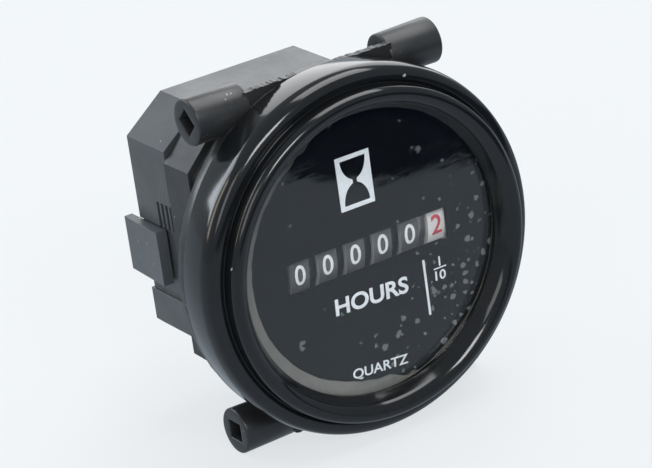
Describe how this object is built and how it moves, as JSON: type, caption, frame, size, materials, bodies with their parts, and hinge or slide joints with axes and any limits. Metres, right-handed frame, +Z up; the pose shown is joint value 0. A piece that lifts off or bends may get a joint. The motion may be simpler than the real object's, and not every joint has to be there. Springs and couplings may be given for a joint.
{
  "type": "panel hour meter",
  "caption": "Round panel-mounted quartz hour meter: stepped bezel, rolling digit counter, clamp-ring lugs, snap latches and spade terminals.",
  "frame": {"origin": "on the dial's axis, in the plane of the panel seat (rear face of the mounting ring)", "axes": "+Z up, +X to the reader's right, the dial faces -Y, +Y runs back through the panel"},
  "size_m": [0.058, 0.0468, 0.058],
  "materials": {
    "bezel_plastic": "gloss black moulded",
    "clear_lens": "clear flat",
    "gasket_rubber": "soft grey",
    "dial_black": "printed black",
    "case_plastic": "fine matte, dark grey",
    "ring_rubber": "moulded, with flash lines",
    "wheel_black": "matte black with white digits",
    "wheel_white": "matte white with red digits",
    "pinion_nylon": "natural",
    "steel": "bright",
    "nickel_steel": "plated sheet",
    "magnet_iron": "laminated",
    "magnet_dark": "ground magnet",
    "copper_wire": "enamelled copper",
    "brass": "plain",
    "board_green": "solder mask",
    "crystal_can": "drawn can",
    "chip_black": "moulded",
    "capacitor_sleeve": "shrink sleeve",
    "resistor_body": "coated"
  },
  "bodies": {
    "case": {"bezel": "bezel_plastic", "lens": "clear_lens", "lens_gasket": "gasket_rubber", "dial_plate": "dial_black", "front_case": "case_plastic", "rear_cover": "case_plastic", "mounting_ring": "ring_rubber", "latch_pin_left": "steel", "latch_pin_right": "steel", "counter_frame": "nickel_steel", "wheel_shaft": "steel", "pinion_shaft": "steel", "left_sleeve": "pinion_nylon", "right_sleeve": "pinion_nylon", "frame_screws": "steel", "motor_stator": "magnet_iron", "coil_core": "magnet_iron", "coil_bobbin": "pinion_nylon", "coil_winding": "copper_wire", "idler_arbor": "steel", "upper_spacer": "brass", "lower_spacer": "brass", "rotor_bridge": "brass", "circuit_board": "board_green", "quartz_crystal": "crystal_can", "timer_chip": "chip_black", "capacitor": "capacitor_sleeve", "resistor": "resistor_body", "board_screws": "steel", "left_terminal": "brass", "right_terminal": "brass"},
    "left_latch": {"side_latch_left": "case_plastic"},
    "right_latch": {"side_latch_right": "case_plastic"},
    "tenths_drum": {"tenths_wheel": "wheel_white"},
    "idler": {"idler_gear": "pinion_nylon"},
    "rotor": {"motor_rotor": "magnet_dark"},
    "ten_thousands_drum": {"ten_thousands_wheel": "wheel_black"},
    "ten_thousands_carry": {"ten_thousands_pinion": "pinion_nylon"},
    "thousands_drum": {"thousands_wheel": "wheel_black"},
    "thousands_carry": {"thousands_pinion": "pinion_nylon"},
    "hundreds_drum": {"hundreds_wheel": "wheel_black"},
    "hundreds_carry": {"hundreds_pinion": "pinion_nylon"},
    "tens_drum": {"tens_wheel": "wheel_black"},
    "tens_carry": {"tens_pinion": "pinion_nylon"},
    "units_drum": {"units_wheel": "wheel_black"},
    "units_carry": {"units_pinion": "pinion_nylon"}
  },
  "joints": [
    {"name": "left_latch_press", "type": "hinge", "parent": "case", "child": "left_latch", "pos_m": [-0.0179, 0.0239, -0.00175], "axis": [0, 0, -1], "range_deg": [0, 6], "stiffness_Nm_per_rad": 0.01},
    {"name": "right_latch_press", "type": "hinge", "parent": "case", "child": "right_latch", "pos_m": [0.0179, 0.0239, -0.00175], "axis": [0, 0, 1], "range_deg": [0, 6], "stiffness_Nm_per_rad": 0.01},
    {"name": "ten_thousands_spin", "type": "hinge", "parent": "case", "child": "ten_thousands_drum", "pos_m": [-0.01135, 0.0013, 0], "axis": [1, 0, 0], "continuous": true},
    {"name": "ten_thousands_carry_spin", "type": "hinge", "parent": "case", "child": "ten_thousands_carry", "pos_m": [-0.00885, 0.00568, -0.00758], "axis": [1, 0, 0], "continuous": true},
    {"name": "thousands_spin", "type": "hinge", "parent": "case", "child": "thousands_drum", "pos_m": [-0.00635, 0.0013, 0], "axis": [1, 0, 0], "continuous": true},
    {"name": "thousands_carry_spin", "type": "hinge", "parent": "case", "child": "thousands_carry", "pos_m": [-0.00385, 0.00568, -0.00758], "axis": [1, 0, 0], "continuous": true},
    {"name": "hundreds_spin", "type": "hinge", "parent": "case", "child": "hundreds_drum", "pos_m": [-0.00135, 0.0013, 0], "axis": [1, 0, 0], "continuous": true},
    {"name": "hundreds_carry_spin", "type": "hinge", "parent": "case", "child": "hundreds_carry", "pos_m": [0.00115, 0.00568, -0.00758], "axis": [1, 0, 0], "continuous": true},
    {"name": "tens_spin", "type": "hinge", "parent": "case", "child": "tens_drum", "pos_m": [0.00365, 0.0013, 0], "axis": [1, 0, 0], "continuous": true},
    {"name": "tens_carry_spin", "type": "hinge", "parent": "case", "child": "tens_carry", "pos_m": [0.00615, 0.00568, -0.00758], "axis": [1, 0, 0], "continuous": true},
    {"name": "units_spin", "type": "hinge", "parent": "case", "child": "units_drum", "pos_m": [0.00865, 0.0013, 0], "axis": [1, 0, 0], "continuous": true},
    {"name": "units_carry_spin", "type": "hinge", "parent": "case", "child": "units_carry", "pos_m": [0.01115, 0.00568, -0.00758], "axis": [1, 0, 0], "continuous": true},
    {"name": "rotor_spin", "type": "hinge", "parent": "case", "child": "rotor", "pos_m": [0.0128, 0.01553, 0.00551], "axis": [1, 0, 0], "continuous": true},
    {"name": "idler_spin", "type": "hinge", "parent": "case", "child": "idler", "pos_m": [0.0153, 0.0103, 0], "axis": [1, 0, 0], "continuous": true},
    {"name": "tenths_spin", "type": "hinge", "parent": "case", "child": "tenths_drum", "pos_m": [0.01365, 0.0013, 0], "axis": [1, 0, 0], "continuous": true}
  ],
  "couplings": [
    {"joint": "ten_thousands_carry_spin", "follows": "ten_thousands_spin", "ratio": -2.5},
    {"joint": "thousands_carry_spin", "follows": "thousands_spin", "ratio": -2.5},
    {"joint": "hundreds_carry_spin", "follows": "hundreds_spin", "ratio": -2.5},
    {"joint": "tens_carry_spin", "follows": "tens_spin", "ratio": -2.5},
    {"joint": "units_carry_spin", "follows": "units_spin", "ratio": -2.5},
    {"joint": "idler_spin", "follows": "rotor_spin", "ratio": -0.26667},
    {"joint": "tenths_spin", "follows": "rotor_spin", "ratio": 0.07619}
  ]
}
